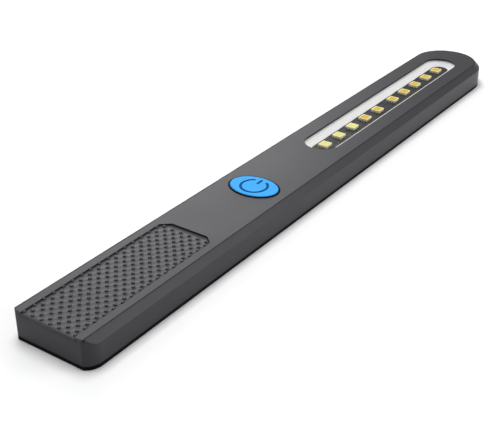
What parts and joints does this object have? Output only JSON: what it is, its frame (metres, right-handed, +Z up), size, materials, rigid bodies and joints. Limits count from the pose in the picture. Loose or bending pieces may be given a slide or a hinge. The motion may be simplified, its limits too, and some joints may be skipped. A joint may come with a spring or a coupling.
{
  "type": "rechargeable inspection work light",
  "caption": "Slim flat bar inspection light: chamfered housing, studded grip recess, oval push button and a row of surface-mount LEDs behind a long rounded window.",
  "frame": {"origin": "centre of the bounding box's bottom face, on the flat back of the light", "axes": "+X along the bar towards the lamp head, +Y across the bar towards the charging port side, +Z up out of the light face"},
  "size_m": [0.3, 0.0344, 0.0121],
  "materials": {
    "housing": "dark grey moulded plastic with a fine matte texture",
    "back": "black moulded plastic",
    "grip": "dark grey soft-touch rubber with small round studs",
    "button": "bright blue satin plastic with an engraved power mark",
    "black_rubber": "black rubber",
    "reflector": "white reflective plastic",
    "lens": "clear polished window",
    "led_board": "black solder mask",
    "led": "cream package with a yellow phosphor face",
    "pcb": "green solder mask",
    "chip": "black moulded package",
    "switch": "black switch housing",
    "stem": "cream switch plunger",
    "steel": "plated steel",
    "screw": "zinc plated screw",
    "magnet": "nickel plated magnet",
    "aluminium": "rolled aluminium",
    "pouch": "foil pouch",
    "foam": "grey foam",
    "wire_red": "red insulation",
    "wire_black": "black insulation"
  },
  "bodies": {
    "housing": {"body_shell": "housing", "front_cover": "housing", "grip_pad": "grip", "back_cover": "back", "magnet_near": "magnet", "magnet_far": "magnet", "button_seal": "black_rubber", "control_board": "pcb", "switch_body": "switch", "driver_chip": "chip", "charge_chip": "chip", "power_inductor": "chip", "usb_port": "steel", "battery_cell": "pouch", "battery_board": "pcb", "battery_pad": "foam", "heat_spreader": "aluminium", "led_board": "led_board", "reflector": "reflector", "led_lens": "lens", "battery_lead_pos": "wire_red", "battery_lead_neg": "wire_black", "led_lead_pos": "wire_red", "led_lead_neg": "wire_black", "back_screw_1": "screw", "back_screw_2": "screw", "back_screw_3": "screw", "back_screw_4": "screw", "back_screw_5": "screw", "back_screw_6": "screw", "back_screw_7": "screw", "led_01": "led", "led_02": "led", "led_03": "led", "led_04": "led", "led_05": "led", "led_06": "led", "led_07": "led", "led_08": "led", "led_09": "led", "led_10": "led"},
    "button": {"power_button": "button"},
    "switch_plunger": {"switch_stem": "stem"},
    "port_flap": {"port_cover": "black_rubber"}
  },
  "joints": [
    {"name": "button_press", "type": "slide", "parent": "housing", "child": "button", "axis": [0, 0, -1], "range_m": [0, 0.0007], "stiffness_N_per_m": 1200, "springref_m": -0.0005},
    {"name": "plunger_press", "type": "slide", "parent": "housing", "child": "switch_plunger", "axis": [0, 0, -1], "range_m": [0, 0.00044]},
    {"name": "port_flap_hinge", "type": "hinge", "parent": "housing", "child": "port_flap", "pos_m": [-0.022, 0.0172, 0.0021], "axis": [-1, 0, 0], "range_deg": [0, 95]}
  ],
  "couplings": [
    {"joint": "plunger_press", "follows": "button_press", "ratio": 0.6}
  ]
}
